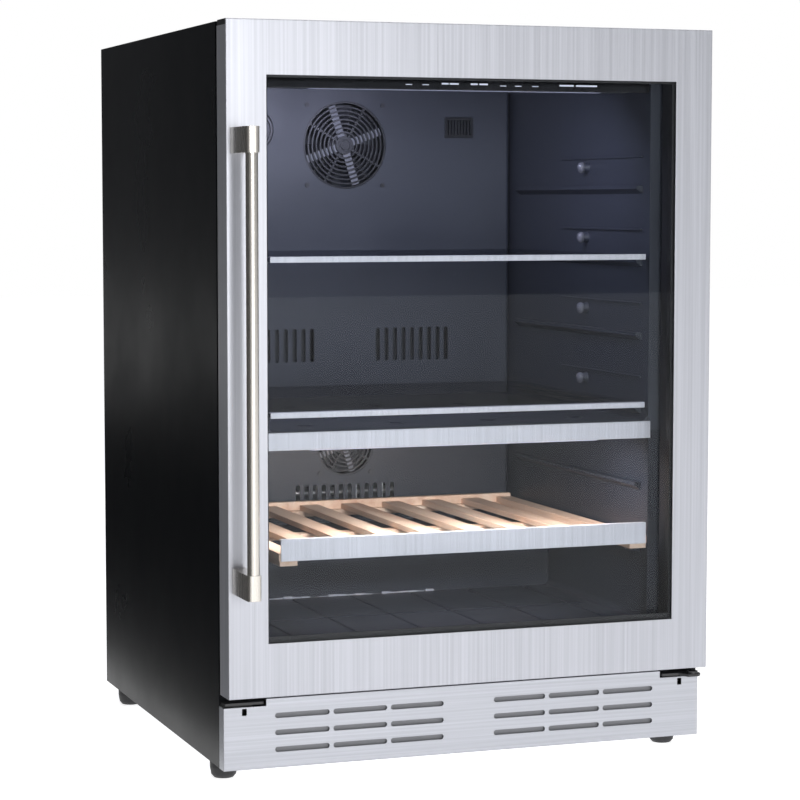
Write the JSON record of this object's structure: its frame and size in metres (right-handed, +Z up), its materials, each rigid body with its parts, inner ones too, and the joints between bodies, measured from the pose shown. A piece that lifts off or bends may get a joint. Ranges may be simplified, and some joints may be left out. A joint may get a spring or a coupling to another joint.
{
  "type": "undercounter refrigerator",
  "caption": "Built-in undercounter beverage and wine refrigerator with a stainless framed glass door, bar handle, two cooled zones, glass shelves, a wooden wine shelf and a slotted kick plate.",
  "frame": {"origin": "on the floor under the centre of the overall box, handle included", "axes": "+Z up, the door faces -Y, the door hinge is on the +X side"},
  "size_m": [0.595, 0.659, 0.864],
  "materials": {
    "cabinet_black": "satin black powder coat",
    "galvanised": "zinc-coated sheet, dull",
    "foam": null,
    "liner_grey": "dark grey formed plastic, fine satin",
    "stainless": "stainless with fine brushing",
    "dark_plastic": "dark grey moulded",
    "black_plastic": "black moulded",
    "fan_plastic": "black, slightly glossy",
    "fin_aluminium": "bare fins and tube",
    "gloss_black": "glossy touch fascia",
    "lamp_diffuser": "white diffuser, cool blue light",
    "hinge_black": "black coated steel plate",
    "screw_steel": "zinc-plated",
    "screw_black": "black oxide",
    "compressor_black": "black enamel",
    "rubber_black": "soft mounts",
    "white_plastic": "white moulded pan",
    "copper": null,
    "foot_black": "black moulded foot",
    "clear_glass": "clear toughened",
    "tinted_glass": "lightly tinted toughened",
    "beech": "clear-sealed beech",
    "door_black": "black door liner",
    "spacer_black": "black warm-edge spacer",
    "gasket_black": "magnetic gasket",
    "handle_steel": "satin stainless",
    "bush_nylon": "nylon bush"
  },
  "bodies": {
    "cabinet": {"left_side_panel": "cabinet_black", "right_side_panel": "cabinet_black", "top_panel": "cabinet_black", "back_panel": "galvanised", "rear_grille": "galvanised", "base_tray": "galvanised", "front_sill": "cabinet_black", "foam_insulation": "foam", "upper_liner": "liner_grey", "lower_liner": "liner_grey", "mullion_trim": "stainless", "upper_air_cover": "liner_grey", "lower_air_cover": "liner_grey", "upper_fan_guard": "dark_plastic", "lower_fan_guard": "dark_plastic", "upper_fan_frame": "black_plastic", "lower_fan_frame": "black_plastic", "upper_evaporator": "fin_aluminium", "lower_evaporator": "fin_aluminium", "carbon_filter": "dark_plastic", "sensor_cover": "dark_plastic", "control_housing": "black_plastic", "control_panel": "gloss_black", "led_lamps": "lamp_diffuser", "kick_plate": "stainless", "bottom_hinge": "hinge_black", "left_corner_bracket": "hinge_black", "top_hinge": "hinge_black", "fixing_screws": "screw_black", "compressor": "compressor_black", "compressor_mounts": "rubber_black", "start_relay_cover": "black_plastic", "condenser": "fin_aluminium", "condenser_fan_frame": "black_plastic", "drain_pan": "white_plastic", "refrigerant_pipes": "copper", "cord_gland": "black_plastic", "foot_front_left": "foot_black", "foot_front_right": "foot_black", "foot_rear_left": "foot_black", "foot_rear_right": "foot_black", "shelf_glass": "clear_glass", "shelf_trim": "stainless"},
    "door": {"door_skin": "stainless", "door_frame": "door_black", "door_outer_glass": "tinted_glass", "door_inner_glass": "clear_glass", "door_glass_spacer": "spacer_black", "door_gasket": "gasket_black", "handle_bar": "handle_steel", "handle_posts": "handle_steel", "handle_screws": "screw_steel", "door_hinge_bushes": "bush_nylon", "door_corner_cap": "black_plastic"},
    "wine_shelf": {"wine_shelf_frame": "beech", "wine_shelf_slats": "beech", "wine_shelf_front": "stainless"},
    "upper_fan": {"upper_fan_rotor": "fan_plastic"},
    "lower_fan": {"lower_fan_rotor": "fan_plastic"},
    "condenser_fan": {"condenser_fan_rotor": "fan_plastic"}
  },
  "joints": [
    {"name": "door_hinge", "type": "hinge", "parent": "cabinet", "child": "door", "pos_m": [0.286, -0.2515, 0.1], "axis": [0, 0, 1], "range_deg": [0, 115]},
    {"name": "wine_shelf_slide", "type": "slide", "parent": "cabinet", "child": "wine_shelf", "axis": [0, -1, 0], "range_m": [-0.006, 0.003]},
    {"name": "upper_fan_spin", "type": "hinge", "parent": "cabinet", "child": "upper_fan", "pos_m": [0, 0.221, 0.737], "axis": [0, -1, 0], "continuous": true},
    {"name": "lower_fan_spin", "type": "hinge", "parent": "cabinet", "child": "lower_fan", "pos_m": [0, 0.221, 0.339], "axis": [0, -1, 0], "continuous": true},
    {"name": "condenser_fan_spin", "type": "hinge", "parent": "cabinet", "child": "condenser_fan", "pos_m": [-0.0845, 0.2195, 0.092], "axis": [1, 0, 0], "continuous": true}
  ]
}
